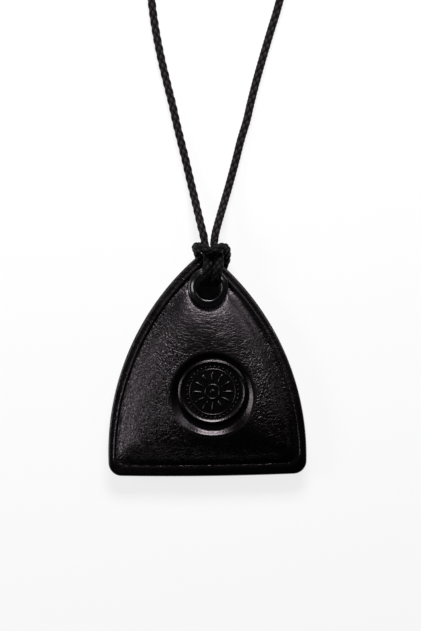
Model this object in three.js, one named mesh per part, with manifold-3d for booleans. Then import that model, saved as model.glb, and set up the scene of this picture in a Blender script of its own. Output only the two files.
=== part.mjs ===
import * as THREE from 'three';
import { mergeVertices } from 'three/addons/utils/BufferGeometryUtils.js';
import Module from 'manifold-3d';

// A padded leather amulet on a braided neck cord, lying on its back with its tip towards +Y.
// Millimetres, +Z up. The zero point is on the surface, under the middle of the amulet.

// Outline of the amulet: two side arcs that meet over a nearly straight lower edge
const amuletWidth = 48;
const widestAbove = 5.35;
const sidesMeetAbove = 54.7;
const tipRadius = 2;
const cornerRadius = 3.2;
const lowerEdgeBow = 0.3;

// Leather of the two covers, bonded at the rim and raised over padding
const leather = 0.9;
const edgeRounding = 0.3;
const frontRise = 1.2;
const frontCrown = 2.4;
const crownPower = 4;
const backRise = 2.9;

// Foot of the raised face, inside the flat rim
const rimAtWidest = 1.85;
const rimAtTip = 3.1;
const rimBelow = 2.6;
const footWidestAbove = 3.25;
const footTipRadius = 1.6;
const footCornerRadius = 2.4;

// Shoulder of the raised face, where its slope turns into the top
const slopeAtSides = 2.1;
const slopeAtTip = 2.9;
const slopeBelow = 2.1;

// Board and padding between the covers
const boardThickness = 0.7;
const fitClearance = 0.3;

// Eyelet, closed at the back over its washer
const eyeletX = 0.75;
const eyeletAbove = 45.75;
const boreRadius = 3.26;
const barrelWall = 0.4;
const flangeRadius = 4.85;
const flangeHeight = 1;
const flangeLip = 0.35;
const barrelClearance = 0.1;
const washerRadius = 4.6;
const washerThickness = 0.35;
const rollRadius = 4.15;
const rollThickness = 0.25;
const eyeletDishClearance = 0.15;
const frontDishFlare = 1.5;
const backDishFlare = 3.4;

// Round seat pressed into the front cover, and the medallion laid in it
const seatX = 1.52;
const seatAbove = 19.69;
const seatRadius = 9.53;
const seatDepth = 1.15;
const seatWallWidth = 0.84;
const medallionShiftX = -0.05;
const medallionShiftY = 0.65;
const seatGroove = 1.53;
const medallionThickness = 0.4;
const borderWidth = 0.55;
const borderHeight = 0.15;

// Rosette raised on the medallion
const rosetteHeight = 0.15;
const rosetteRingRadius = 1.5;
const rosetteLineWidth = 0.4;
const rosetteStrokes = 12;
const strokeStart = 2.5;
const strokeEnd = 5.2;

// Cord
const cordDiameter = 2;
const cordGap = 0.3;
const cordSides = 8;
const swingAbove = 58.4;
const swingHeight = 4.6;
const leftSwingX = -0.29;
const rightSwingX = 2.56;

// Coil of the length put away
const coilX = 3.6;
const coilAbove = 139;
const coilMiddleRadius = 12;
const coilPitch = 2.46;
const turnsPerLayer = 3.5;
const coilInnerDip = 0.42;
const coilLeadOut = 8;
const stepsPerTurn = 24;
const coilSides = 6;

// Knot that joins the cord's ends
const knotLength = 7;
const knotDiameter = 5.6;
const knotFaceRadius = 1.9;

// Counts of an outline's points on half of the amulet, and of a lathe's steps
const lowerSteps = 4;
const cornerSteps = 4;
const sideSteps = 14;
const tipSteps = 3;
const roundSteps = 36;
// Counts of steps along the cord
const hitchSteps = 64;
const strandSteps = 20;

// Sizes that follow
const cordRadius = cordDiameter / 2;
const bondHeight = backRise + leather;
const rimTop = bondHeight + leather;
const rimUnderside = bondHeight - leather;
const frontTop = rimTop + frontRise + frontCrown;
const barrelRadius = boreRadius + barrelWall;
const holeRadius = barrelRadius + barrelClearance;
const washerUnderside = rimUnderside - washerThickness;
const seatFloor = frontTop - seatDepth;
const medallionRadius = seatRadius - seatGroove;
const coilOuterRadius = coilMiddleRadius + (coilPitch * turnsPerLayer) / 2;
const cutOverrun = 2 * leather;
// Least rounding that an inset leaves on a corner, as a share of the shape's own
const leastRoundingShare = 0.25;

const wasm = await Module();
wasm.setup();

const edgeShape = {
  halfWidth: amuletWidth / 2,
  widest: widestAbove,
  meet: sidesMeetAbove,
  tip: tipRadius,
  corner: cornerRadius,
  lower: 0,
};
const footShape = {
  halfWidth: edgeShape.halfWidth - rimAtWidest,
  widest: footWidestAbove,
  meet: edgeShape.meet - rimAtTip,
  tip: footTipRadius,
  corner: footCornerRadius,
  lower: rimBelow,
};
const shoulderShape = {
  halfWidth: footShape.halfWidth - slopeAtSides,
  widest: footShape.widest,
  meet: footShape.meet - slopeAtTip,
  tip: footShape.tip,
  corner: footShape.corner,
  lower: footShape.lower + slopeBelow,
};

// The arcs of an outline, drawn in by an inset that keeps the side arcs' centres
function outlineArcs(shape, inset) {
  const rise = shape.meet - shape.widest;
  const sideRadius = (rise ** 2 + shape.halfWidth ** 2) / (2 * shape.halfWidth);
  const sideX = shape.halfWidth - sideRadius;
  const side = sideRadius - inset;
  const tip = Math.max(shape.tip - inset, shape.tip * leastRoundingShare);
  const corner = Math.max(shape.corner - inset, shape.corner * leastRoundingShare);
  const tipY = shape.widest + Math.sqrt((side - tip) ** 2 - sideX ** 2);
  const cornerY = shape.lower + inset + lowerEdgeBow + corner;
  const cornerX = sideX + Math.sqrt((side - corner) ** 2 - (cornerY - shape.widest) ** 2);
  return { shape, inset, side, sideX, tip, tipY, corner, cornerX, cornerY };
}

function arcPoint(x, y, radius, angle) {
  return new THREE.Vector2(x + radius * Math.cos(angle), y + radius * Math.sin(angle));
}

// Points of the right half, from the middle of the lower edge up to the tip
function halfOutline(arcs) {
  const points = [];
  const lower = arcs.shape.lower + arcs.inset;
  for (let i = 0; i < lowerSteps; i += 1) {
    const share = i / lowerSteps;
    points.push(new THREE.Vector2(arcs.cornerX * share, lower + lowerEdgeBow * share ** 2));
  }
  const sideStart = Math.atan2(arcs.cornerY - arcs.shape.widest, arcs.cornerX - arcs.sideX);
  const sideEnd = Math.atan2(arcs.tipY - arcs.shape.widest, -arcs.sideX);
  for (let i = 0; i < cornerSteps; i += 1) {
    const angle = THREE.MathUtils.lerp(-Math.PI / 2, sideStart, i / cornerSteps);
    points.push(arcPoint(arcs.cornerX, arcs.cornerY, arcs.corner, angle));
  }
  for (let i = 0; i < sideSteps; i += 1) {
    const angle = THREE.MathUtils.lerp(sideStart, sideEnd, i / sideSteps);
    points.push(arcPoint(arcs.sideX, arcs.shape.widest, arcs.side, angle));
  }
  for (let i = 0; i <= tipSteps; i += 1) {
    const angle = THREE.MathUtils.lerp(sideEnd, Math.PI / 2, i / tipSteps);
    points.push(arcPoint(0, arcs.tipY, arcs.tip, angle));
  }
  return points;
}

// A whole outline, anticlockwise, with as many points for every shape and inset
function outline(shape, inset = 0) {
  const right = halfOutline(outlineArcs(shape, inset));
  const left = right.slice(1, -1).reverse().map((p) => new THREE.Vector2(-p.x, p.y));
  return [...right, ...left];
}

function raised(points, height) {
  return points.map((p) => new THREE.Vector3(p.x, p.y, height));
}

function between(from, to, share) {
  return from.map((p, i) => p.clone().lerp(to[i], share));
}

// A closed skin over rings of as many points each, with a middle point at either end
function loft(rings) {
  const count = rings[0].length;
  const middle = (ring) => ring.reduce((sum, p) => sum.add(p), new THREE.Vector3()).divideScalar(count);
  const points = [...rings.flat(), middle(rings[0]), middle(rings[rings.length - 1])];
  const first = points.length - 2;
  const last = points.length - 1;
  const top = (rings.length - 1) * count;
  const faces = [];
  for (let i = 0; i < count; i += 1) {
    const next = (i + 1) % count;
    faces.push(first, next, i, last, top + i, top + next);
    for (let ring = 0; ring < top; ring += count) {
      faces.push(ring + i, ring + next, ring + count + next);
      faces.push(ring + i, ring + count + next, ring + count + i);
    }
  }
  const geometry = new THREE.BufferGeometry().setFromPoints(points);
  geometry.setIndex(faces);
  return geometry;
}

function toSolid(geometry) {
  const bare = geometry.clone();
  bare.deleteAttribute('normal');
  bare.deleteAttribute('uv');
  const merged = mergeVertices(bare);
  return new wasm.Manifold(new wasm.Mesh({
    numProp: 3,
    vertProperties: new Float32Array(merged.attributes.position.array),
    triVerts: new Uint32Array(merged.index.array),
  }));
}

function toGeometry(solid) {
  const mesh = solid.getMesh();
  const geometry = new THREE.BufferGeometry();
  geometry.setAttribute('position', new THREE.BufferAttribute(mesh.vertProperties, 3));
  geometry.setIndex(new THREE.BufferAttribute(mesh.triVerts, 1));
  return geometry;
}

// A turned solid round an upright axis through x, y, from a closed profile of radius and height
function turned(profile, x, y) {
  const points = profile.map(([radius, height]) => new THREE.Vector2(radius, height));
  const geometry = new THREE.LatheGeometry(points, roundSteps);
  geometry.rotateX(Math.PI / 2);
  geometry.translate(x, y, 0);
  return geometry;
}

// A plain round cutter or rod between two heights
function rod(radius, low, high, x, y) {
  return toSolid(turned([[0, low], [radius, low], [radius, high], [0, high]], x, y));
}

// Share of the slope's width, share of the rise, for the rounded side of each raised face
const frontSlopeShares = [[0, 0], [0.1, 0.05], [0.35, 0.36], [0.68, 0.73], [1, 1]];
const backSlopeShares = [[0, 0], [0.08, 0.45], [0.2, 0.84], [0.38, 1], [1, 1]];
// Distances from the middle of the face, as shares of the shoulder's, for its crown
const crownShares = [0.85, 0.6, 0.3];
// How far the inside of the shoulder is drawn in, as a share of the inset at the foot
const innerShoulderShare = 0.6;

// Rings of a raised face that starts at height zero, drawn in by an inset, flat where it has no crown
function faceRings(rise, crown, inset) {
  const foot = outline(footShape, inset);
  const shoulder = outline(shoulderShape, inset * innerShoulderShare);
  const shares = crown === 0 ? backSlopeShares : frontSlopeShares;
  const rings = shares.map(([across, up]) => raised(between(foot, shoulder, across), rise * up));
  if (crown === 0) return rings;
  const middle = new THREE.Vector3(0, seatAbove, rise);
  crownShares.forEach((share) => {
    const ring = raised(shoulder, rise).map((p) => middle.clone().lerp(p, share));
    rings.push(ring.map((p) => p.setZ(rise + crown * (1 - share ** crownPower))));
  });
  return rings;
}

// The outside of a cover, standing on the bond plane with its raised face up
function coverBlock(rise, crown) {
  const edge = [
    raised(outline(edgeShape), 0),
    raised(outline(edgeShape), leather - edgeRounding),
    raised(outline(edgeShape, edgeRounding), leather),
  ];
  const face = faceRings(rise, crown, 0);
  face.forEach((ring) => ring.forEach((p) => p.setZ(p.z + leather)));
  return toSolid(loft([...edge, ...face]));
}

// The space under a cover's raised face, less a clearance all over
function padBlock(rise, crown, clearance, floor) {
  const foot = outline(footShape, leather + clearance);
  const face = faceRings(rise - clearance, crown, leather + clearance);
  return toSolid(loft([raised(foot, floor), ...face.slice(1)]));
}

// Share of the flare's width, share of the back's rise, for the side of the eyelet's dish
const dishShares = [[0, 0], [0.1, 0.25], [0.35, 0.6], [1, 1.05]];

// Space of the dish that the eyelet presses into a raised face, grown by a margin
function eyeletDish(margin, flare) {
  const radius = flangeRadius + eyeletDishClearance + margin;
  const floor = leather - margin;
  const high = frontRise + frontCrown + backRise + cutOverrun;
  const wall = dishShares.map(([out, up]) => [radius + flare * out, floor + backRise * up]);
  const rim = wall[wall.length - 1][0];
  return toSolid(turned([[0, floor], ...wall, [rim, high], [0, high]], eyeletX, eyeletAbove));
}

// Share of the wall's width, share of the depth, for the rounded wall of the round seat
const seatWallShares = [[-1, 0], [-0.75, 0.1], [0.9, 0.9], [1.7, 1.3]];

// Space of the round seat in the front cover, grown by a margin, above the bond plane
function roundSeat(margin) {
  const floor = seatFloor - bondHeight - margin;
  const high = frontTop + cutOverrun;
  const radius = seatRadius + margin;
  const wall = seatWallShares.map(([out, up]) => [radius + seatWallWidth * out, floor + seatDepth * up]);
  const mouth = wall[wall.length - 1][0];
  return toSolid(turned([[0, floor], ...wall, [mouth, high], [0, high]], seatX, seatAbove));
}

// Lifts a piece of the front to the bond plane
function placeFront(solid) {
  return toGeometry(solid.translate([0, 0, bondHeight]));
}

// Turns a piece over for the back, and lifts it to the bond plane
function placeBack(solid) {
  return toGeometry(solid.mirror([0, 0, 1]).translate([0, 0, bondHeight]));
}

function makeFrontCover() {
  const space = padBlock(frontRise, frontCrown, 0, -cutOverrun)
    .subtract(eyeletDish(leather, frontDishFlare))
    .subtract(roundSeat(leather));
  const hole = rod(holeRadius, -cutOverrun, frontTop, eyeletX, eyeletAbove);
  return placeFront(coverBlock(frontRise, frontCrown)
    .subtract(space)
    .subtract(eyeletDish(0, frontDishFlare))
    .subtract(roundSeat(0))
    .subtract(hole));
}

function makeBackCover() {
  const space = padBlock(backRise, 0, 0, -cutOverrun).subtract(eyeletDish(leather, backDishFlare));
  const hole = rod(holeRadius, -cutOverrun, frontTop, eyeletX, eyeletAbove);
  return placeBack(coverBlock(backRise, 0)
    .subtract(space)
    .subtract(eyeletDish(0, backDishFlare))
    .subtract(hole));
}

function makeCoreBoard() {
  const board = outline(footShape, leather + fitClearance);
  const block = toSolid(loft([raised(board, 0), raised(board, boardThickness)]));
  return placeBack(block.subtract(eyeletDish(leather + fitClearance, backDishFlare)));
}

function makeFrontPad() {
  return placeFront(padBlock(frontRise, frontCrown, fitClearance, 0)
    .subtract(eyeletDish(leather + fitClearance, frontDishFlare))
    .subtract(roundSeat(leather + fitClearance)));
}

function makeBackPad() {
  return placeBack(padBlock(backRise, 0, fitClearance, boardThickness)
    .subtract(eyeletDish(leather + fitClearance, backDishFlare)));
}

// Places across the flange's width, as shares of its half width
const flangeShares = [1, 0.9, 0.6, 0.2, -0.2, -0.6, -0.9, -1];

// Rolled front flange, barrel through both leathers and the roll that closes it at the back
function makeEyelet() {
  const flangeMiddle = (boreRadius + flangeRadius) / 2;
  const flangeHalf = (flangeRadius - boreRadius) / 2;
  const crown = flangeShares.map((across) => [
    flangeMiddle + flangeHalf * across,
    rimTop + flangeLip + (flangeHeight - flangeLip) * Math.sqrt(1 - across ** 2),
  ]);
  const rollUnderside = washerUnderside - rollThickness;
  return turned([
    [flangeRadius, rimTop],
    ...crown,
    [boreRadius, rollUnderside + rollThickness / 2],
    [boreRadius + rollThickness / 2, rollUnderside],
    [rollRadius - rollThickness / 2, rollUnderside],
    [rollRadius, rollUnderside + rollThickness / 2],
    [rollRadius, washerUnderside],
    [barrelRadius, washerUnderside],
    [barrelRadius, rimTop],
    [flangeRadius, rimTop],
  ], eyeletX, eyeletAbove);
}

function makeEyeletWasher() {
  return turned([
    [holeRadius, washerUnderside],
    [washerRadius - washerThickness / 2, washerUnderside],
    [washerRadius, washerUnderside + washerThickness / 2],
    [washerRadius, rimUnderside],
    [holeRadius, rimUnderside],
    [holeRadius, washerUnderside],
  ], eyeletX, eyeletAbove);
}

// One stroke of the rosette, a round-ended bar that points outwards
function strokeGeometry(angle) {
  const half = rosetteLineWidth / 2;
  const length = strokeEnd - strokeStart;
  const bar = new THREE.Shape();
  bar.absarc(0, 0, half, Math.PI / 2, (3 * Math.PI) / 2);
  bar.absarc(length, 0, half, -Math.PI / 2, Math.PI / 2);
  const depth = 2 * rosetteHeight;
  const geometry = new THREE.ExtrudeGeometry(bar, { depth, bevelEnabled: false, curveSegments: 3 });
  geometry.translate(strokeStart, 0, -rosetteHeight);
  geometry.rotateZ(angle);
  return geometry;
}

function makeMedallion() {
  const top = seatFloor + medallionThickness;
  const disc = toSolid(turned([
    [0, seatFloor],
    [medallionRadius, seatFloor],
    [medallionRadius, top],
    [medallionRadius - borderWidth / 3, top + borderHeight],
    [medallionRadius - (2 * borderWidth) / 3, top + borderHeight],
    [medallionRadius - borderWidth, top],
    [0, top],
  ], 0, 0));
  const ring = toSolid(turned([
    [rosetteRingRadius, -rosetteHeight],
    [rosetteRingRadius + rosetteLineWidth, -rosetteHeight],
    [rosetteRingRadius + rosetteLineWidth, rosetteHeight],
    [rosetteRingRadius, rosetteHeight],
    [rosetteRingRadius, -rosetteHeight],
  ], 0, 0));
  let solid = disc.add(ring.translate([0, 0, top]));
  for (let i = 0; i < rosetteStrokes; i += 1) {
    const stroke = toSolid(strokeGeometry((2 * Math.PI * i) / rosetteStrokes));
    solid = solid.add(stroke.translate([0, 0, top]));
  }
  return toGeometry(solid.translate([seatX + medallionShiftX, seatAbove + medallionShiftY, 0]));
}

// The cord's section, pushed along a smooth path
function cordAlong(path, steps) {
  const section = new THREE.Shape();
  for (let i = 0; i < cordSides; i += 1) {
    const angle = (2 * Math.PI * (i + 0.5)) / cordSides;
    const corner = [cordRadius * Math.cos(angle), cordRadius * Math.sin(angle)];
    if (i === 0) section.moveTo(...corner);
    else section.lineTo(...corner);
  }
  section.closePath();
  const curve = new THREE.CatmullRomCurve3(path.map((p) => new THREE.Vector3(...p)), false, 'centripetal');
  return new THREE.ExtrudeGeometry(section, { steps, extrudePath: curve });
}

// Hitch: down in front of the rim, through the eyelet, up behind, and across in front as one bar
const hitchPath = [
  [-0.07, 57.1, 4.75], [-0.02, 56.3, 4.8], [0.14, 55.5, 5.1], [0.56, 54.45, 5.8], [0.85, 53.2, 6.35],
  [0.84, 51.9, 6.75], [0.72, 50.6, 7.05], [0.5, 49.3, 7], [0.26, 48.1, 6.45], [0.08, 47.1, 5.3],
  [-0.02, 46.65, 3.9], [-0.08, 46.75, 2.6], [-0.18, 47.6, 1.45], [-0.4, 49.1, 1.07],
  [-0.75, 50.9, 1.06], [-1.28, 52.6, 1.2], [-1.76, 53.95, 2.05], [-2, 54.85, 3.4], [-2.03, 55.3, 4.9],
  [-1.72, 55.5, 6.4], [-0.88, 55.2, 7.55], [0.2, 54.72, 8.1], [1.4, 54.4, 8.26], [2.5, 54.55, 8.2],
  [3.45, 55, 7.8], [4.3, 55.25, 7], [4.98, 55.05, 5.85], [5.28, 54.25, 4.6], [5.34, 53.1, 3.2],
  [5.1, 51.9, 1.95], [4.5, 50.5, 1.15], [3.5, 49, 1.06], [2.7, 47.6, 1.4], [2.28, 46.75, 2.55],
  [2.16, 46.5, 3.9], [2.26, 46.95, 5.3], [2.5, 47.95, 6.45], [2.86, 49.2, 7.02], [3.16, 50.5, 7.05],
  [3.3, 51.8, 6.6], [3.2, 53.1, 5.95], [2.75, 54.5, 5.35], [2.3, 55.6, 5], [2.26, 56.4, 4.85],
  [2.38, 57.1, 4.75],
];

// Left strand: from the hitch down onto the surface and up to the coil
const leftPath = [
  [leftSwingX, swingAbove, swingHeight], [-0.75, 60.3, 4.2], [-1.35, 63, 3.2], [-2.2, 66.8, 1.9],
  [-3.1, 70.8, 1.15], [-4.3, 76.3, 1.02], [-5.5, 81.4, 1.02], [-6.6, 86.2, 1.02], [-7.35, 89.9, 1.02],
  [-8.6, 95.2, 1.02], [-9.9, 101, 1.02], [-11.2, 108, 1.02], [-12.1, 115, 1.02], [-12.6, 122, 1.02],
  [-12.72, 129, 1.02], [-12.72, 136.7, 1.02],
];

// Right strand, seen from the hitch: down onto the surface and up to the knot beside the coil
const rightPath = [
  [rightSwingX, swingAbove, swingHeight], [3.05, 60.3, 4.2], [3.85, 63, 3.2], [5, 66.8, 1.9],
  [6.2, 70.8, 1.15], [7.75, 76.3, 1.02], [9.1, 81.4, 1.02], [10.6, 86.2, 1.02], [11.5, 89.9, 1.02],
  [12.9, 95.2, 1.02], [14.6, 101, 1.02], [16.6, 107.5, 1.02], [18.3, 112.8, 1.2], [19.4, 117, 1.7],
  [19.85, 120.4, 2.3], [19.91, 123.4, 2.5],
];

function makeCordHitch() {
  return cordAlong(hitchPath, hitchSteps);
}

// A strand's end at the hitch is a ball round the axis on which the amulet swings
function makeStrand(path) {
  const ball = new THREE.SphereGeometry(cordRadius, cordSides, cordSides / 2);
  ball.rotateX(Math.PI / 2);
  ball.translate(...path[0]);
  return toGeometry(toSolid(cordAlong(path, strandSteps)).add(toSolid(ball)));
}

// Middle line of the coil: in along the lower layer, half a turn up, out along the upper layer
function coilPoints() {
  const inner = coilOuterRadius - coilPitch * turnsPerLayer;
  const turns = 2 * turnsPerLayer + 1 / 2;
  const points = [];
  for (let step = 0; step <= turns * stepsPerTurn; step += 1) {
    const turn = step / stepsPerTurn;
    const out = Math.max(turn - turnsPerLayer - 1 / 2, 0);
    const reversing = THREE.MathUtils.clamp(2 * (turn - turnsPerLayer), 0, 1);
    const dip = coilInnerDip * Math.sin(Math.PI * reversing);
    const radius = inner - dip + coilPitch * (Math.max(turnsPerLayer - turn, 0) + out);
    const climb = THREE.MathUtils.smoothstep(turn, turnsPerLayer, turnsPerLayer + 1 / 2);
    const angle = Math.PI - 2 * Math.PI * turn;
    points.push(new THREE.Vector3(
      coilX + radius * Math.cos(angle),
      coilAbove + radius * Math.sin(angle),
      cordRadius + coilPitch * climb,
    ));
  }
  const last = points[points.length - 1];
  return [
    points[0].clone().setY(coilAbove - cordDiameter),
    ...points,
    last.clone().setY(coilAbove - coilLeadOut),
  ];
}

// Least gap of the coiled cord to itself, between points over a third of a turn apart
function leastCoilGap(points) {
  let least = Infinity;
  const apart = stepsPerTurn / 3;
  points.forEach((p, i) => {
    points.slice(i + apart).forEach((q) => {
      least = Math.min(least, p.distanceTo(q) - cordDiameter);
    });
  });
  return least;
}

function makeCordCoil() {
  const points = coilPoints();
  const up = new THREE.Vector3(0, 0, 1);
  const rings = points.map((p, i) => {
    const along = points[Math.min(i + 1, points.length - 1)].clone().sub(points[Math.max(i - 1, 0)]);
    const across = new THREE.Vector3().crossVectors(along, up).normalize();
    const lift = new THREE.Vector3().crossVectors(along, across).normalize();
    return Array.from({ length: coilSides }, (_, corner) => {
      const angle = (2 * Math.PI * corner) / coilSides;
      const out = across.clone().multiplyScalar(cordRadius * Math.cos(angle));
      return p.clone().add(out).addScaledVector(lift, cordRadius * Math.sin(angle));
    });
  });
  console.log(`least gap of the coil to itself: ${leastCoilGap(points).toFixed(3)} mm`);
  return loft(rings);
}

// Share of half the knot's length, share of what its width gains on its faces
const knotShares = [[-0.92, 0.55], [-0.6, 0.93], [0, 1], [0.6, 0.93], [0.92, 0.55]];

// A barrel knot beside the coil, lying on the surface in line with the right strand
function makeClosingKnot() {
  const radius = knotDiameter / 2;
  const half = knotLength / 2;
  const side = knotShares.map(([along, width]) => [
    knotFaceRadius + (radius - knotFaceRadius) * width,
    half * along,
  ]);
  const profile = [[0, -half], [knotFaceRadius, -half], ...side, [knotFaceRadius, half], [0, half]];
  const geometry = new THREE.LatheGeometry(
    profile.map(([r, h]) => new THREE.Vector2(r, h)),
    roundSteps / 2,
  );
  const far = coilAbove - coilLeadOut - cordGap;
  geometry.translate(coilX + coilOuterRadius, far - half, radius);
  return geometry;
}

// Materials
const blackLeather = new THREE.MeshStandardMaterial({ color: 0x161416, roughness: 0.42, metalness: 0 });
const smoothLeather = new THREE.MeshStandardMaterial({ color: 0x100f11, roughness: 0.35, metalness: 0 });
const blackEnamel = new THREE.MeshStandardMaterial({ color: 0x0c0c0d, roughness: 0.2, metalness: 0.2 });
const greyBoard = new THREE.MeshStandardMaterial({ color: 0x6b6257, roughness: 0.9, metalness: 0 });
const paleFoam = new THREE.MeshStandardMaterial({ color: 0x8d8a84, roughness: 0.95, metalness: 0 });
const blackBraid = new THREE.MeshStandardMaterial({ color: 0x151315, roughness: 0.6, metalness: 0 });

const bluntLength = outline(edgeShape).reduce((most, p) => Math.max(most, p.y), 0);
const group = new THREE.Group();
group.name = 'neck_amulet';
group.position.y = -bluntLength / 2;

function addPiece(name, geometry, material) {
  const mesh = new THREE.Mesh(geometry, material);
  mesh.name = name;
  group.add(mesh);
}

addPiece('front_cover', makeFrontCover(), blackLeather);
addPiece('back_cover', makeBackCover(), blackLeather);
addPiece('core_board', makeCoreBoard(), greyBoard);
addPiece('front_pad', makeFrontPad(), paleFoam);
addPiece('back_pad', makeBackPad(), paleFoam);
addPiece('medallion', makeMedallion(), smoothLeather);
addPiece('eyelet', makeEyelet(), blackEnamel);
addPiece('eyelet_washer', makeEyeletWasher(), blackEnamel);
addPiece('cord_hitch', makeCordHitch(), blackBraid);
addPiece('cord_left', makeStrand(leftPath), blackBraid);
addPiece('cord_right', makeStrand(rightPath), blackBraid);
addPiece('cord_coil', makeCordCoil(), blackBraid);
addPiece('closing_knot', makeClosingKnot(), blackBraid);

export default group;
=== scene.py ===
import bisect
import math
import bmesh
import bpy
from mathutils import Matrix, Vector, noise


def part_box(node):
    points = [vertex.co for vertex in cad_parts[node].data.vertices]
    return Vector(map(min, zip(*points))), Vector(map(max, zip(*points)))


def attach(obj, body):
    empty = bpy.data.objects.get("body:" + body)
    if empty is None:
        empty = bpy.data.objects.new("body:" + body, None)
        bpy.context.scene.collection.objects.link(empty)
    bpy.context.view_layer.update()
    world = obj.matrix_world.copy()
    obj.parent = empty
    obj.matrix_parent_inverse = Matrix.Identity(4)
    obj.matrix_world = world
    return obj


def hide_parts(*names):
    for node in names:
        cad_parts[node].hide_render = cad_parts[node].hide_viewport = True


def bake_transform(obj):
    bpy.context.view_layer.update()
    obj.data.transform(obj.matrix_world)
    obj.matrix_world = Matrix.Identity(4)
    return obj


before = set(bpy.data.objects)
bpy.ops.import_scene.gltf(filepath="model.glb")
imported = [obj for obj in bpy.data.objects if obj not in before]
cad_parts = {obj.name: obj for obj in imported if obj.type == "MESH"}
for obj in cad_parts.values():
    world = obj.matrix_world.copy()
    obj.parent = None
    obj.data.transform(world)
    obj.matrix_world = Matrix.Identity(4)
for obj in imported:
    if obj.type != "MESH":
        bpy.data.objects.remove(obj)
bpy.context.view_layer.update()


# Camera: it looks straight down on the amulet with a long lens, as in the photograph, and is
# turned a little, because the amulet isn't quite upright there. The view is 152.7 mm tall.
view_height = 0.15274
view_distance = 0.7
view_middle = (0.00118, 0.0118, 0.004)
view_turn = -0.74
sensor_width = 36
camera_data = bpy.data.cameras.new("view_from_above")
camera_data.sensor_width = sensor_width
camera_data.lens = sensor_width * view_distance / view_height
camera = bpy.data.objects.new("view_from_above", camera_data)
camera.location = (view_middle[0], view_middle[1], view_middle[2] + view_distance)
camera.rotation_euler = (0, 0, math.radians(view_turn))
bpy.context.scene.collection.objects.link(camera)
bpy.context.scene.camera = camera


# Neck cord: a round cord braided from eight bundles of glossy black nylon, 2 mm thick. It leaves
# the hitch at the amulet's top, lies on the table and runs up to the rest of its length, which is
# wound into a round coil. Sizes are in millimetres, and heights up from the amulet's lower edge.
lower_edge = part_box("front_cover")[0][1]
cord_radius = 1.0
bundles_each_way = 4
bundle_depth = 0.2
braid_pitch = 2.15

left_strand = [
    (-0.07, 57.1, 4.75), (-0.29, 58.4, 4.6), (-0.75, 60.3, 4.2), (-1.35, 63, 3.2),
    (-2.2, 66.8, 1.9), (-3.1, 70.8, 1.15), (-4.3, 76.3, 1.02), (-5.5, 81.4, 1.02),
    (-6.6, 86.2, 1.02), (-7.35, 89.9, 1.02), (-8.6, 95.2, 1.02), (-9.9, 101, 1.02),
    (-11.2, 108, 1.02), (-12.1, 115, 1.02), (-12.6, 122, 1.02), (-12.72, 129, 1.02),
    (-12.705, 135, 1.01),
]
right_strand = [
    (19.905, 131, 3.2), (19.905, 129, 2.85), (19.905, 126, 2.75), (19.91, 123.4, 2.5),
    (19.85, 120.4, 2.3), (19.4, 117, 1.7), (18.3, 112.8, 1.2), (16.6, 107.5, 1.02),
    (14.6, 101, 1.02), (12.9, 95.2, 1.02), (11.5, 89.9, 1.02), (10.6, 86.2, 1.02),
    (9.1, 81.4, 1.02), (7.75, 76.3, 1.02), (6.2, 70.8, 1.15), (5, 66.8, 1.9), (3.85, 63, 3.2),
    (3.05, 60.3, 4.2), (2.56, 58.4, 4.6), (2.38, 57.1, 4.75),
]
coil_middle = (3.6, 139)
coil_outer_radius = 16.305
coil_pitch = 2.46
turns_per_layer = 3.5
climbing_turns = 0.5
climb_drawn_in = 0.42
steps_per_turn = 24


def at(x, above, z):
    """A place over the amulet's lower edge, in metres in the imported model's frame."""
    return Vector((x / 1000, lower_edge + above / 1000, z / 1000))


def ramp(value, start, end):
    """0 up to the start, 1 from the end on, and a straight climb between them."""
    return min(max((value - start) / (end - start), 0), 1)


def eased(share):
    """The same share with a gentle start and a gentle end."""
    return share * share * (3 - 2 * share)


def coil_turns():
    """One layer of turns inwards, half a turn that climbs, and a second layer outwards."""
    points = []
    inner_radius = coil_outer_radius - coil_pitch * turns_per_layer
    second_layer = turns_per_layer + climbing_turns
    for step in range(1, int((turns_per_layer + second_layer) * steps_per_turn) + 1):
        turn = step / steps_per_turn
        climbed = ramp(turn, turns_per_layer, second_layer)
        turns_out = max(turns_per_layer - turn, 0) + max(turn - second_layer, 0)
        drawn_in = climb_drawn_in * math.sin(math.pi * climbed)
        radius = inner_radius + coil_pitch * turns_out - drawn_in
        angle = math.pi - 2 * math.pi * turn
        points.append((
            coil_middle[0] + radius * math.cos(angle),
            coil_middle[1] + radius * math.sin(angle),
            cord_radius + coil_pitch * eased(climbed),
        ))
    return points


def smooth_route(points, spacing):
    """Even points on one smooth curve through the given ones, with their distance along it."""
    p = [Vector(q) for q in points]
    p = [2 * p[0] - p[1]] + p + [2 * p[-1] - p[-2]]
    parts = 12
    fine = []
    for a, b, c, d in zip(p, p[1:], p[2:], p[3:]):
        ab, bc, cd = (b - a).length ** 0.5, (c - b).length ** 0.5, (d - c).length ** 0.5
        start = ((b - a) / ab - (c - a) / (ab + bc) + (c - b) / bc) * bc
        end = ((c - b) / bc - (d - b) / (bc + cd) + (d - c) / cd) * bc
        for i in range(parts):
            t = i / parts
            fine.append(b + start * t + (3 * (c - b) - 2 * start - end) * t ** 2
                        + (2 * (b - c) + start + end) * t ** 3)
    fine.append(p[-2])
    along = [0.0]
    for q, r in zip(fine, fine[1:]):
        along.append(along[-1] + (r - q).length)
    count = max(2, round(along[-1] / spacing))
    route = []
    for i in range(count + 1):
        goal = along[-1] * i / count
        k = min(max(bisect.bisect_right(along, goal) - 1, 0), len(fine) - 2)
        share = (goal - along[k]) / (along[k + 1] - along[k])
        route.append((fine[k].lerp(fine[k + 1], share), goal))
    return route


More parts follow.
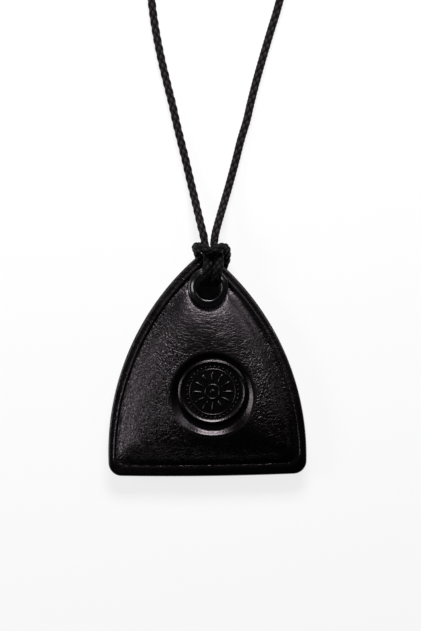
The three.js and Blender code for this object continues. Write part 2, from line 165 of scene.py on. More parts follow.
def bundle_height(round_share, along):
    """How high the braid stands at one place: 1 on top of a bundle, 0 down between them."""
    a = bundles_each_way * round_share + along / braid_pitch
    b = bundles_each_way * round_share - along / braid_pitch
    across, lengthwise = a - math.floor(a) - 0.5, b - math.floor(b) - 0.5
    if (math.floor(a) + math.floor(b)) % 2:
        across, lengthwise = lengthwise, across
    return max(0.0, 1 - 26 * across ** 4) * max(0.0, 1 - 15 * lengthwise ** 4)


def piece_from(name, bm):
    """Makes one named piece of a mesh in millimetres over the lower edge."""
    for vert in bm.verts:
        vert.co = at(*vert.co)
    mesh = bpy.data.meshes.new(name)
    bm.to_mesh(mesh)
    bm.free()
    piece = bpy.data.objects.new(name, mesh)
    bpy.context.scene.collection.objects.link(piece)
    return piece


def braided_tube(name, route, sides, press=None):
    """A braided cord along a route. press gives its width, thickness, wide way and painted shade.
    """
    bm = bmesh.new()
    painted_shade_layer = bm.verts.layers.float.new("painted_hitch_shade")
    uv = bm.loops.layers.uv.new("braid")
    rows = len(route) - 1
    bmesh.ops.create_grid(bm, x_segments=sides, y_segments=rows, size=0.5, calc_uvs=True)
    length = route[-1][1]
    for face in bm.faces:
        for loop in face.loops:
            loop[uv].uv = (loop[uv].uv.x * bundles_each_way, loop[uv].uv.y * length / braid_pitch)
    side = Vector((1, 0, 0))
    frames = []
    for i, (point, along) in enumerate(route):
        ahead = route[min(i + 1, rows)][0] - route[max(i - 1, 0)][0]
        ahead.normalize()
        side = (side - ahead * side.dot(ahead)).normalized()
        frames.append((point, along, side.copy(), side.cross(ahead), ahead))
    for vert in bm.verts:
        round_share = vert.co.x + 0.5
        row = round((vert.co.y + 0.5) * rows)
        point, along, side, up, ahead = frames[row]
        angle = 2 * math.pi * round_share
        radius = cord_radius - bundle_depth * (1 - bundle_height(round_share, along))
        out = (side * math.cos(angle) + up * math.sin(angle)) * radius
        if press:
            width, thickness, wide, vert[painted_shade_layer] = press(row / rows)
            wide = wide - ahead * wide.dot(ahead)
            if wide.length > 0.2:  # less where it runs nearly along the cord
                wide.normalize()
                flat = wide * out.dot(wide)
                out = flat * width + (out - flat) * thickness
        vert.co = point + out
    bmesh.ops.remove_doubles(bm, verts=bm.verts, dist=0.0005)
    bmesh.ops.holes_fill(bm, edges=[e for e in bm.edges if e.is_boundary], sides=0)
    bmesh.ops.recalc_face_normals(bm, faces=bm.faces)
    for face in bm.faces:
        face.smooth = len(face.verts) == 4
    return piece_from(name, bm)


def feed(tree, made, values):
    """Gives a node's inputs their plain values, and links those that are another's output."""
    for key, value in values.items():
        socket = made.inputs[key.replace("_", " ") if isinstance(key, str) else key]
        if isinstance(value, bpy.types.NodeSocket):
            tree.links.new(value, socket)
        else:
            socket.default_value = value
    return made


def node(tree, kind, options=None, **values):
    """Adds one shader node with its options, and feeds it."""
    made = tree.nodes.new("ShaderNode" + kind)
    for key, value in (options or {}).items():
        setattr(made, key, value)
    return feed(tree, made, values)


def reckoned(tree, operation, *values, clamp=False):
    """What one step of arithmetic gives for plain values or other nodes' outputs."""
    made = node(tree, "Math", {"operation": operation, "use_clamp": clamp})
    return feed(tree, made, dict(enumerate(values))).outputs[0]


def ranged(tree, value, low, high, to_low, to_high, way="LINEAR"):
    """Takes low to to_low and high to to_high, and what lies between them to between those."""
    made = node(tree, "MapRange", {"interpolation_type": way}, Value=value, From_Min=low,
                From_Max=high, To_Min=to_low, To_Max=to_high)
    return made.outputs[0]


def between(tree, share, one, other):
    """The value that lies a share of the way from one to the other."""
    made = node(tree, "Mix", {"data_type": "FLOAT"})
    return feed(tree, made, {0: share, 2: one, 3: other}).outputs[0]


def shaded(tree, share, one, other):
    """The colour that lies a share of the way from one to the other."""
    made = node(tree, "Mix", {"data_type": "RGBA"})
    return feed(tree, made, {0: share, 6: one, 7: other}).outputs[2]


def raised(tree, height, distance, strength=1.0):
    """The surface as it stands up by the height, where 1 is the distance in metres."""
    return node(tree, "Bump", Height=height, Distance=distance, Strength=strength).outputs[0]


def finish_named(name, **values):
    """A material with its Principled shader set to plain values."""
    material = bpy.data.materials.new(name)
    material.use_nodes = True
    shader = material.node_tree.nodes["Principled BSDF"]
    return material, material.node_tree, feed(material.node_tree, shader, values)


# The braid map counts bundles round the cord and along it. Each bundle is painted dark where it
# dives under the next, a painted shade, and fine filaments run along it.
nylon, tree, shader = finish_named("braided_black_nylon", Roughness=0.45, Specular_IOR_Level=0.12)
braid = node(tree, "UVMap", {"uv_map": "braid"})
ways = node(tree, "SeparateXYZ", Vector=braid.outputs[0]).outputs
counted, within = [], []
for operation in ("ADD", "SUBTRACT"):
    slanted = reckoned(tree, operation, ways[0], ways[1])
    counted.append(reckoned(tree, "FLOOR", slanted))
    within.append(reckoned(tree, "SUBTRACT", reckoned(tree, "FRACT", slanted), 0.5))
odd = reckoned(tree, "FLOORED_MODULO", reckoned(tree, "ADD", *counted), 2.0)
across = between(tree, odd, within[0], within[1])
lengthwise = between(tree, odd, within[1], within[0])
round_high = reckoned(tree, "MULTIPLY_ADD", reckoned(tree, "MULTIPLY", across, across), -3.6, 1.0)
long_high = reckoned(tree, "MULTIPLY_ADD", reckoned(tree, "POWER", lengthwise, 4.0), -15.0, 1.0)
high = reckoned(tree, "MULTIPLY", round_high, long_high, clamp=True)
filaments = reckoned(tree, "SINE", reckoned(tree, "MULTIPLY", across, 38.0))
relief = reckoned(tree, "MULTIPLY_ADD", filaments, 0.12, high)
# The hitch's colour is painted darker than the rest of the cord: painted shade.
painted_hitch_shade = node(tree, "Attribute", {"attribute_name": "painted_hitch_shade"}).outputs["Fac"]
dye_and_hitch_shade = shaded(tree, painted_hitch_shade, (0.0175, 0.0135, 0.0145, 1), (0.0022, 0.0015, 0.0017, 1))
# Down between the bundles the colour is painted near black: painted shade.
lit = ranged(tree, high, 0.2, 0.85, 0.0, 1.0)
feed(tree, shader, {
    "Base Color": shaded(tree, lit, (0.0005, 0.0004, 0.0005, 1), dye_and_hitch_shade),
    "Roughness": ranged(tree, high, 0.1, 0.75, 1.0, 0.45),
    "Normal": raised(tree, relief, 0.00012, 0.8),
})

cord_route = smooth_route(left_strand + coil_turns() + right_strand, 0.3)
neck_cord = braided_tube("neck_cord", cord_route, 32)
neck_cord.data.materials.append(nylon)
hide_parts("cord_left", "cord_right", "cord_coil")
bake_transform(neck_cord)


# Hitch: the same cord, folded double and pulled tight round the amulet's top. Both legs run down
# in front of the rim, go through the eyelet and come up behind, and one bar crosses in front of
# them. The legs are pressed flat where they lie on the rim and against each other.
hitch_points = [
    (-0.07, 57.1, 4.75), (-0.02, 56.3, 4.8), (0.14, 55.5, 5.1), (0.56, 54.45, 5.8),
    (0.85, 53.2, 6.35), (0.84, 51.9, 6.75), (0.72, 50.6, 7.05), (0.5, 49.3, 7), (0.26, 48.1, 6.45),
    (0.08, 47.1, 5.3), (-0.02, 46.65, 3.9), (-0.08, 46.75, 2.6), (-0.18, 47.6, 1.45),
    (-0.4, 49.1, 1.07), (-0.75, 50.9, 1.06), (-1.28, 52.6, 1.2), (-1.76, 53.95, 2.05),
    (-2, 54.85, 3.4), (-2.03, 55.3, 4.9), (-1.72, 55.5, 6.4), (-0.88, 55.2, 7.55),
    (0.2, 54.72, 8.1), (1.4, 54.4, 8.26), (2.5, 54.55, 8.2), (3.45, 55, 7.8), (4.3, 55.25, 7),
    (4.98, 55.05, 5.85), (5.28, 54.25, 4.6), (5.34, 53.1, 3.2), (5.1, 51.9, 1.95),
    (4.5, 50.5, 1.15), (3.5, 49, 1.06), (2.7, 47.6, 1.4), (2.28, 46.75, 2.55), (2.16, 46.5, 3.9),
    (2.26, 46.95, 5.3), (2.5, 47.95, 6.45), (2.86, 49.2, 7.02), (3.16, 50.5, 7.05),
    (3.3, 51.8, 6.6), (3.2, 53.1, 5.95), (2.75, 54.5, 5.35), (2.3, 55.6, 5), (2.26, 56.4, 4.85),
    (2.38, 57.1, 4.75),
]


def hitch_press(share):
    """The legs are wide and thin where they lie on the rim, the bar is loose and fat, and all but
    the ends are painted darker as shade.
    """
    from_end = min(share, 1 - share)
    flat = eased(ramp(from_end, 0.035, 0.065)) * eased(ramp(from_end, 0.27, 0.21))
    fat = 0.16 * eased(ramp(from_end, 0.37, 0.42))
    hitch_shade_share = ramp(from_end, 0.025, 0.05)
    return 1 + 0.33 * flat + fat, 1 - 0.08 * flat + fat, Vector((1, 0, 0)), hitch_shade_share


cord_hitch = braided_tube("hitch_round_rim", smooth_route(hitch_points, 0.2), 32, hitch_press)
cord_hitch.data.materials.append(nylon)
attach(cord_hitch, "amulet")
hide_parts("cord_hitch")


# Closing knot: the cord's two ends, wrapped three times round each other into a barrel. Two short
# tails come out of it, their ends melted to a bead so that the braid can't open.
knot_middle = Vector((19.905, 127.2, 2.8))
knot_wraps = 3
knot_length = 4.7
wrap_radius = 1.8
steps_per_wrap = 12
bead_radius = 1.03
tail_routes = [
    [(21, 125.5, 2.2), (21.4, 123.8, 2.1), (21.9, 122, 1.6), (22.2, 120.4, 1.1),
     (22.3, 118.8, 1.04)],
    [(21.3, 129, 3), (21.9, 130.6, 2.5), (22.5, 132, 1.6), (22.9, 133.4, 1.06),
     (23.1, 134.6, 1.04)],
]


def place_in_mm(tree):
    """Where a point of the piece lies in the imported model's frame, in millimetres."""
    spot = node(tree, "TexCoord").outputs["Object"]
    return node(tree, "Mapping", Vector=spot, Scale=(1000, 1000, 1000)).outputs[0]


def mottled(name, one, other, relief, patches, **values):
    """A material of two shades in uneven patches, which also stand up by the relief."""
    material, tree, shader = finish_named(name, **values)
    uneven = node(tree, "TexNoise", Vector=place_in_mm(tree), **patches).outputs[0]
    feed(tree, shader, {
        "Base Color": shaded(tree, uneven, one, other),
        "Normal": raised(tree, uneven, relief),
    })
    return material, tree, shader, uneven


melted = mottled("melted_nylon_end", (0.004, 0.004, 0.005, 1), (0.02, 0.018, 0.021, 1), 0.0001,
                 {"Scale": 2.0, "Detail": 3.0}, Roughness=0.3)[0]
knot_points = [knot_middle + Vector((0.1, 2.4, 0.1))]
for step in range(knot_wraps * steps_per_wrap + 1):
    turn = step / steps_per_wrap
    knot_points.append(knot_middle + Vector((
        wrap_radius * math.cos(2 * math.pi * turn),
        knot_length * (0.5 - turn / knot_wraps),
        wrap_radius * math.sin(2 * math.pi * turn),
    )))
knot_points.append(knot_middle + Vector((0.3, -2.4, -0.3)))
closing_knot = braided_tube("closing_knot_wraps", smooth_route(knot_points, 0.22), 24)
closing_knot.data.materials.append(nylon)
knot_tails = []
for number, tail in enumerate(tail_routes, 1):
    piece = braided_tube(f"knot_tail_{number}", smooth_route(tail, 0.24), 24)
    piece.data.materials.append(nylon)
    bead_bm = bmesh.new()
    bmesh.ops.create_uvsphere(bead_bm, u_segments=20, v_segments=12, radius=bead_radius)
    bmesh.ops.scale(bead_bm, verts=bead_bm.verts, vec=(1, 0.62, 0.97))
    bmesh.ops.translate(bead_bm, verts=bead_bm.verts, vec=Vector(tail[-1]))
    for face in bead_bm.faces:
        face.smooth = True
    bead = piece_from(f"melted_end_{number}", bead_bm)
    bead.data.materials.append(melted)
    knot_tails += [piece, bead]

for piece in [closing_knot] + knot_tails:
    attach(piece, "neck_cord")
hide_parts("closing_knot")


# Covers: two pieces of black pebble-grained leather, 0.9 mm thick, pressed wet over padding and
# bonded together at the flat rim. The front one holds a round seat for the medallion, and both
# are pressed down round the eyelet. The rim is trimmed and burnished by hand.
leather = 0.9
bond_height = 3.8
front_rise = 1.2
front_crown = 2.4
back_rise = 2.9
rim_width = 2.49

# Three outlines: the cut edge, the foot of the raised face, and its shoulder. "slack" is how much
# earlier, as a share, the raised face stops on the right, where the flat rim is wider.
edge_shape = {"half": 24, "widest": 5.35, "meet": 54.7, "tip": 2, "corner": 3.2, "lower": 0,
              "slack": 0}
foot_shape = {"half": 22.0, "widest": 3.25, "meet": 51.45, "tip": 1.6, "corner": 2.4,
              "lower": 2.75, "slack": 0.023}
shoulder_shape = {"half": 19.6, "widest": 3.25, "meet": 48.2, "tip": 1.6, "corner": 2.4,
                  "lower": 5.15, "slack": 0.023}
lower_bow = 0.3
lower_points, corner_points, side_points = 44, 14, 116

eyelet_middle = Vector((0.75, 45.75))
eyelet_hole = 3.76
flange_room = 5.0
seat_middle = Vector((1.52, 19.69))
seat_depth = 1.15
seat_floor = bond_height + leather + front_rise + front_crown - seat_depth
seat_radius = 8.69
seat_wall = 0.66
seat_fillet = 0.3
seat_lip = 10.3
round_rings_from = 12

# The rings' places. On the rim: how far in from the cut edge, how high, and how rubbed by hand. On
# the flat: how far towards the foot, and how high. On the slope: how far towards the shoulder.
rim_profile = (
    (0.14, 0, 0), (0.03, 0.08, 0), (0, 0.2, 0), (0, 0.36, 0), (0.04, 0.5, 0), (0.13, 0.62, 0),
    (0.28, 0.69, 0), (0.5, 0.73, 0), (0.8, 0.745, 0), (1.15, 0.75, 0), (1.38, 0.765, 0),
    (1.5, 0.8, 0.1), (1.6, 0.85, 0.2), (1.7, 0.895, 0.3), (1.8, 0.915, 0.4), (1.95, 0.89, 0.3),
    (2.12, 0.83, 0.1), (2.3, 0.755, 0),
)
rim_top = 0.745
flat_profile = ((0.3, 0.72), (0.6, 0.7), (0.85, 0.7), (1, 0.71))
slope_shares = (0.05, 0.13, 0.22, 0.32, 0.42, 0.53, 0.64, 0.76, 0.88, 1)
crown_rings = 52
seat_radii = (11.5, 11.1, 10.8, 10.6, 10.45, 10.3, 10.15, 10, 9.85, 9.7, 9.5, 9.3, 9.1, 8.98, 8.88,
              8.8, 8.7, 8.6, 8.5, 8.38, 8, 7, 5, 2.5, 0)
slope_start = len(rim_profile) + len(flat_profile)


def outline(shape):
    """A cover's outline: a bowed lower edge, two corners, two side arcs and the tip."""
    half, widest, lower = shape["half"], shape["widest"], shape["lower"]
    tip, corner = shape["tip"], shape["corner"]
    side = ((shape["meet"] - widest) ** 2 + half ** 2) / (2 * half)
    side_x = half - side
    tip_y = widest + math.sqrt((side - tip) ** 2 - side_x ** 2)
    corner_y = lower + lower_bow + corner
    corner_x = side_x + math.sqrt((side - corner) ** 2 - (corner_y - widest) ** 2)
    start = math.atan2(corner_y - widest, corner_x - side_x)
    end = math.atan2(tip_y - widest, -side_x)
    points = []
    for i in range(lower_points):
        share = i / lower_points
        points.append(Vector((corner_x * share, lower + lower_bow * share ** 2)))
    for x, y, radius, a, b, steps, last in (
        (corner_x, corner_y, corner, -math.pi / 2, start, corner_points, 0),
        (side_x, widest, side, start, end, side_points, 0),
        (0, tip_y, tip, end, math.pi / 2, corner_points, 1),
    ):
        for i in range(steps + last):
            angle = a + (b - a) * i / steps
            points.append(Vector((x + radius * math.cos(angle), y + radius * math.sin(angle))))
    points += [Vector((-p.x, p.y)) for p in reversed(points[1:-1])]
    return [Vector((p.x * (1 - shape["slack"] if p.x > 0 else 1), p.y)) for p in points]


def soft_min(a, b, width):
    """The lower of two heights, rounded over where they come within a width of each other."""
    near = max(width - abs(a - b), 0) / width
    return min(a, b) - near * near * width / 4


edge, foot, shoulder = outline(edge_shape), outline(foot_shape), outline(shoulder_shape)
shoulder_reach = sorted(
    (math.atan2(p.y - seat_middle.y, p.x), math.hypot(p.x, p.y - seat_middle.y)) for p in shoulder
)
shoulder_reach = ([(shoulder_reach[-1][0] - 2 * math.pi, shoulder_reach[-1][1])] + shoulder_reach
                  + [(shoulder_reach[0][0] + 2 * math.pi, shoulder_reach[0][1])])
reach_angles = [angle for angle, reach in shoulder_reach]


def crown_height(p, rise, crown):
    """Height of the raised face over the rim, highest in the middle of its width."""
    angle = math.atan2(p.y - seat_middle.y, p.x)
    k = bisect.bisect_left(reach_angles, angle)
    (a, near), (b, far) = shoulder_reach[k - 1], shoulder_reach[k]
    reach = near + (far - near) * (angle - a) / (b - a)
    share = min(math.hypot(p.x, p.y - seat_middle.y) / reach, 1)
    return rise + crown * (1 - share ** 4)


def dish_height(p, flare):
    """Height over the rim of the hollow that the eyelet is pressed into."""
    out = max((p - eyelet_middle).length - flange_room, 0) / flare
    return 3.1 * out ** 0.55


def seat_height(p):
    """Height over the rim of the pressed round seat with its sloping wall."""
    out = (p - seat_middle).length - seat_radius
    near = max(seat_fillet - abs(out), 0)
    fillet = near * near * seat_wall / (4 * seat_fillet)
    return seat_floor - bond_height - leather + seat_wall * max(out, 0) + fillet


def slope_height(share, steep):
    """Climb from the foot to the shoulder: slow, then steep, and at last as the crown begins."""
    return share * (0.35 + (2.3 - steep + (steep - 1.65) * share) * share)


def cover_rings(rise, crown, flare, trim):
    """Rings from the cut edge to the middle of the seat: points, height, pressed, rubbed."""
    rings = []
    for inset, height, rubbed in rim_profile:
        ring = []
        for i, (a, b) in enumerate(zip(edge, foot)):
            # The right side's flat rim is wider, and the ridge on it stands higher. Along the
            # lower edge the ridge is low.
            right = ramp(a.x, 0, 22) * ramp(a.y, 1, 4)
            share = inset / rim_width * (1 - 0.25 * right)
            share += trim(i / len(edge)) * (1 - ramp(inset, 0, 1.2))
            ridge = min(0.25 + 0.6 * ramp(a.y, 0.5, 3) + 0.3 * right, 1)
            high = min(height, rim_top + ridge * max(height - rim_top, 0))
            ring.append((a.lerp(b, share), high, 0.8, rubbed))
        rings.append(ring)
    rim_end = [p for p, height, pressed, rubbed in rings[-1]]
    for share, height in flat_profile:
        rings.append([(a.lerp(b, share), height, 0.7 - 0.2 * share, 0)
                      for a, b in zip(rim_end, foot)])
    for share in slope_shares:
        ring = []
        for a, b in zip(foot, shoulder):
            if crown:
                half_width = math.hypot(b.x, b.y - seat_middle.y)
                up = slope_height(share, 4 * crown * (b - a).length / rise / half_width)
            else:
                up = math.sin(math.pi / 2 * ramp(share, 0, 0.4) ** 0.8)
            ring.append((a.lerp(b, share), leather + rise * up - 0.19 * (1 - up), 0.5, 0))
        rings.append(ring)
    mouth = [seat_middle + (p - seat_middle).normalized() * round_rings_from for p in shoulder]
    for i in range(1, crown_rings + 1):
        share = i / crown_rings
        ring = []
        for a, b in zip(shoulder, mouth):
            p = a.lerp(b, share)
            pressed = 0.5 * (1 - ramp(share, 0, 0.25))
            ring.append((p, leather + crown_height(p, rise, crown), pressed, 0))
        rings.append(ring)
    for radius in seat_radii:
        ring = []
        for m in mouth:
            p = seat_middle + (m - seat_middle) * (radius / round_rings_from)
            pressed = ramp(radius, seat_lip + 0.45, seat_lip - 0.15) if crown else 0
            rubbed = max(0, 1 - abs(radius - seat_lip) / 0.4) if crown else 0
            ring.append((p, leather + crown_height(p, rise, crown), pressed, rubbed))
        rings.append(ring)
    shaped = rings[:len(rim_profile)]
    for number, ring in enumerate(rings[len(rim_profile):], len(rim_profile)):
        row = []
        for p, height, pressed, rubbed in ring:
            if crown:
                # The front is cut by the seat, and sinks a little towards the eyelet.
                height = leather + soft_min(height - leather, seat_height(p), 0.14)
                from_flange = max((p - eyelet_middle).length - flange_room, 0)
                height -= 0.75 * math.exp(-from_flange / 2.8)
            dish = leather - 0.02 + dish_height(p, flare)
            if dish < height + 0.2:
                height = max(min(soft_min(height, dish, 0.2), dish), min(height, leather - 0.1))
                pressed = max(pressed, 0.75)
            uneven = noise.noise((p.x / 7, p.y / 7, rise))
            uneven += 0.5 * noise.noise((p.x / 3, p.y / 3, 5))
            padded = ramp(number, slope_start, slope_start + len(slope_shares))
            height -= (0.045 + 0.035 * uneven) * (1 - pressed) * padded
            row.append((p, height, pressed, rubbed))
        shaped.append(row)
    return shaped


def faced_out(bm):
    """Turns the faces of a closed mesh outwards, and shades them smooth."""
    bmesh.ops.recalc_face_normals(bm, faces=bm.faces)
    if bm.calc_volume(signed=True) < 0:
        bmesh.ops.reverse_faces(bm, faces=bm.faces)
    for face in bm.faces:
        face.smooth = True


def leather_cover(name, rings, up):
    """A closed shell from its rings: the outside, and the same drawn in by the leather."""
    bonded_rings = len(rim_profile) + 2
    inside = [[(p, max(height - leather, 0) if number >= bonded_rings else 0, 0, 0)
               for p, height, pressed, rubbed in ring] for number, ring in enumerate(rings)]
    loops = list(reversed(rings)) + inside[1:]
    count = len(rings[0])
    bm = bmesh.new()
    pressed_layer = bm.verts.layers.float.new("pressed")
    rubbed_layer = bm.verts.layers.float.new("rubbed")
    bmesh.ops.create_grid(bm, x_segments=count, y_segments=len(loops) - 1, size=0.5)
    hole = []
    for vert in bm.verts:
        column = round((vert.co.x + 0.5) * count) % count
        row = round((vert.co.y + 0.5) * (len(loops) - 1))
        p, height, vert[pressed_layer], vert[rubbed_layer] = loops[row][column]
        vert.co = (p.x, p.y, bond_height + up * height)
        if (p - eyelet_middle).length < eyelet_hole:
            hole.append(vert)
    bmesh.ops.delete(bm, geom=hole, context="VERTS")
    bmesh.ops.remove_doubles(bm, verts=bm.verts, dist=0.0005)
    for vert in [v for v in bm.verts if v.is_boundary]:
        out = vert.co.xy - eyelet_middle
        out *= eyelet_hole / out.length
        vert.co = (eyelet_middle.x + out.x, eyelet_middle.y + out.y, vert.co.z)
    bmesh.ops.bridge_loops(bm, edges=[e for e in bm.edges if e.is_boundary])
    faced_out(bm)
    return piece_from(name, bm)


def front_trim(share):
    """How far the front leather was trimmed back from the back one, as a share of the rim."""
    upper_left = math.exp(-((share - 0.62) / 0.1) ** 2)
    upper_right = math.exp(-((share - 0.38) / 0.08) ** 2)
    return 0.02 + 0.09 * upper_left + 0.06 * upper_right + 0.008 * math.sin(41 * share)


front_rings = cover_rings(front_rise, front_crown, 1.5, front_trim)
back_rings = cover_rings(back_rise, 0, 3.4, lambda share: 0.0)
front_cover = leather_cover("front_leather", front_rings, 1)
back_cover = leather_cover("back_leather", back_rings, -1)


def effect(name, takes, gives):
    """Starts a shared effect: its node tree, its named inputs, and the node that it gives to."""
    tree = bpy.data.node_groups.new(name, "ShaderNodeTree")
    for socket, kind, value in takes:
        made = tree.interface.new_socket(name=socket, in_out="INPUT", socket_type=kind)
        if value is not None:
            made.default_value = value
    for socket in gives:
        tree.interface.new_socket(name=socket, in_out="OUTPUT", socket_type="NodeSocketFloat")
    ins = tree.nodes.new("NodeGroupInput").outputs
    outs = tree.nodes.new("NodeGroupOutput")
    return tree, ins, outs


def place_effect(tree, group, **values):
    """Puts an effect in a material, and gives its outputs there."""
    made = tree.nodes.new("ShaderNodeGroup")
    made.node_tree = group
    return feed(tree, made, values).outputs


def distance_from(tree, place, middle):
    made = node(tree, "VectorMath", {"operation": "DISTANCE"})
    return feed(tree, made, {0: place, 1: middle}).outputs["Value"]


# Pebble grain: flat-topped pebbles with narrow valleys between them, drawn out across the hide
# or down it where it was stretched, with soft unevenness and a few long creases.
grain, takes, gives = effect(
    "leather_grain",
    (("Place", "NodeSocketVector", None), ("Pebble size", "NodeSocketFloat", 0.75),
     ("Stretched", "NodeSocketFloat", 0.0), ("Drawn down", "NodeSocketFloat", 0.0),
     ("Creases", "NodeSocketFloat", 1.0)),
    ("Height", "Valley"),
)
wander = node(grain, "TexNoise", Vector=takes["Place"], Scale=0.7, Detail=2.0)
shift = node(grain, "VectorMath", {"operation": "MULTIPLY_ADD"})
feed(grain, shift, {0: wander.outputs["Color"], 1: (0.9, 0.9, 0.9), 2: takes["Place"]})
shift = shift.outputs[0]
per_mm = reckoned(grain, "DIVIDE", 1.0, takes["Pebble size"])
across_hide = node(grain, "Mapping", Vector=shift, Rotation=(0, 0, 0.18), Scale=(0.36, 1.05, 1.0))
down_hide = node(grain, "Mapping", Vector=shift, Rotation=(0, 0, 0.3), Scale=(1.35, 0.42, 1.0))
tops = []
for way in (shift, across_hide.outputs[0], down_hide.outputs[0]):
    cells = node(grain, "TexVoronoi", {"feature": "DISTANCE_TO_EDGE"}, Vector=way, Scale=per_mm,
                 Randomness=1.0)
    tops.append(ranged(grain, cells.outputs["Distance"], 0.0, 0.2, 0.0, 1.0, "SMOOTHSTEP"))
pebble = between(grain, takes["Stretched"], tops[0], tops[1])
pebble = between(grain, takes["Drawn down"], pebble, tops[2])
fold_way = node(grain, "Mapping", Vector=shift, Rotation=(0, 0, 0.5), Scale=(0.5, 1.0, 1.0))
folds = node(grain, "TexNoise", Vector=fold_way.outputs[0], Scale=0.3, Detail=2.0, Roughness=0.45,
             Distortion=0.6).outputs[0]
from_fold = reckoned(grain, "ABSOLUTE", reckoned(grain, "SUBTRACT", folds, 0.52))
crease = ranged(grain, from_fold, 0.0, 0.03, 0.0, 1.0, "SMOOTHSTEP")
soft = node(grain, "TexNoise", Vector=takes["Place"], Scale=0.32, Detail=3.0, Roughness=0.55)
height = reckoned(grain, "ADD", pebble, reckoned(grain, "MULTIPLY", crease, takes["Creases"]))
feed(grain, gives, {
    "Height": reckoned(grain, "MULTIPLY_ADD", soft.outputs[0], 3.0, height),
    "Valley": reckoned(grain, "SUBTRACT", 1.0, reckoned(grain, "MINIMUM", pebble, crease)),
})

# The leather is smoother at its lower right, drawn across under the eyelet and drawn down at the
# lower left. Its grain is pressed flat on the rim, round the eyelet and in the seat.
leather_black, tree, shader = finish_named(
    "black_grained_leather", Roughness=0.36, Specular_IOR_Level=0.46,
    Specular_Tint=(1, 0.86, 0.94, 1))
in_mm = place_in_mm(tree)
lower_right, under_eyelet, lower_left = (
    distance_from(tree, in_mm, 1000 * at(*middle, 8))
    for middle in ((13, -7), (3, 37.5), (-14.5, 18))
)
relief_left = ranged(tree, lower_right, 14.0, 34.0, 0.35, 1.0, "SMOOTHSTEP")
drawn = ranged(tree, under_eyelet, 7.0, 14.0, 0.85, 0.0, "SMOOTHSTEP")
down = ranged(tree, lower_left, 5.0, 15.0, 0.65, 0.0, "SMOOTHSTEP")
skin = place_effect(tree, grain, Place=in_mm, Pebble_size=0.8, Stretched=drawn, Drawn_down=down,
                    Creases=0.7)
pressed = node(tree, "Attribute", {"attribute_name": "pressed"}).outputs["Fac"]
rubbed = node(tree, "Attribute", {"attribute_name": "rubbed"}).outputs["Fac"]
relief = ranged(tree, pressed, 0.0, 1.0, relief_left, 0.1)
relief = reckoned(tree, "MULTIPLY", relief, ranged(tree, drawn, 0.0, 0.85, 1.0, 0.4))
relief = reckoned(tree, "MULTIPLY", relief, ranged(tree, down, 0.0, 0.65, 1.0, 1.7))
patches = node(tree, "TexNoise", Vector=in_mm, Scale=0.8, Detail=3.0).outputs[0]
worn = reckoned(tree, "MULTIPLY", rubbed, patches)
# The valleys between the pebbles are painted darker than their tops: painted shade.
black = shaded(tree, skin["Valley"], (0.0007, 0.0005, 0.0007, 1), (0.0003, 0.0002, 0.0003, 1))
black = shaded(tree, worn, black, (0.008, 0.0072, 0.0078, 1))
blotch = node(tree, "TexNoise", Vector=in_mm, Scale=0.16, Detail=4.0).outputs[0]
gloss = reckoned(tree, "MULTIPLY_ADD", pressed, -0.06, ranged(tree, blotch, 0.3, 0.7, 0.29, 0.35))
gloss = reckoned(tree, "ADD", gloss, ranged(tree, relief_left, 0.35, 1.0, -0.06, 0.0))
feed(tree, shader, {
    "Base Color": black,
    "Roughness": reckoned(tree, "MULTIPLY_ADD", skin["Valley"], 0.05, gloss),
    "Normal": raised(tree, reckoned(tree, "MULTIPLY", skin["Height"], relief), 0.00007),
})

for piece, name in ((front_cover, "front_cover"), (back_cover, "back_cover")):
    piece.data.materials.append(leather_black)
    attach(piece, "amulet")
    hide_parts(name)


# Padding: two layers of wool felt that fill the covers and give the face its rounded form, with
# a pressed fibre board between them that keeps the amulet flat. All three are hidden.
pad_edge_ring = 25
pad_gap = 0.12
eyelet_clearance = 0.6


def felt_pad(name, rings, up, floor):
    """A closed pad under a raised face, a little smaller and cut off short of the eyelet."""
    top = []
    for ring in rings[:pad_edge_ring:-3]:
        row = []
        for number, (p, height, pressed, rubbed) in enumerate(ring[::2]):
            p = p.lerp(seat_middle, 0.04)
            ended = len(top) > 1 and top[-1][number] is top[-2][number]
            if ended or (p - eyelet_middle).length < flange_room + leather + eyelet_clearance:
                row.append(top[-1][number])
            else:
                row.append((p, max(height - leather - pad_gap, floor + 0.05)))
        top.append(row)
    loops = [[(p, floor) for p, height in row] for row in top] + top[::-1]
    count = len(loops[0])
    bm = bmesh.new()
    bmesh.ops.create_grid(bm, x_segments=count, y_segments=len(loops) - 1, size=0.5)
    for vert in bm.verts:
        row = loops[round((vert.co.y + 0.5) * (len(loops) - 1))]
        p, height = row[round((vert.co.x + 0.5) * count) % count]
        vert.co = (p.x, p.y, bond_height + up * height)
    bmesh.ops.remove_doubles(bm, verts=bm.verts, dist=0.0005)
    faced_out(bm)
    return piece_from(name, bm)


felt = mottled("grey_wool_felt", (0.2, 0.19, 0.17, 1), (0.34, 0.33, 0.3, 1), 0.0001,
               {"Scale": 4.0, "Detail": 8.0, "Distortion": 2.5}, Roughness=0.95,
               Sheen_Weight=0.3)[0]
for name, rings, up, floor in (
    ("front_pad", front_rings, 1, 0.0),
    ("back_pad", back_rings, -1, 0.75),
):
    pad = felt_pad("felt_" + name, rings, up, floor)
    pad.data.materials.append(felt)
    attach(pad, "amulet")
    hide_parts(name)

board = mottled("pressed_fibre_board", (0.14, 0.11, 0.075, 1), (0.29, 0.24, 0.17, 1), 0.00004,
                {"Scale": 1.6, "Detail": 9.0, "Distortion": 1.2}, Roughness=0.88)[0]
core_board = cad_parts["core_board"]
core_board.data.materials.clear()
core_board.data.materials.append(board)


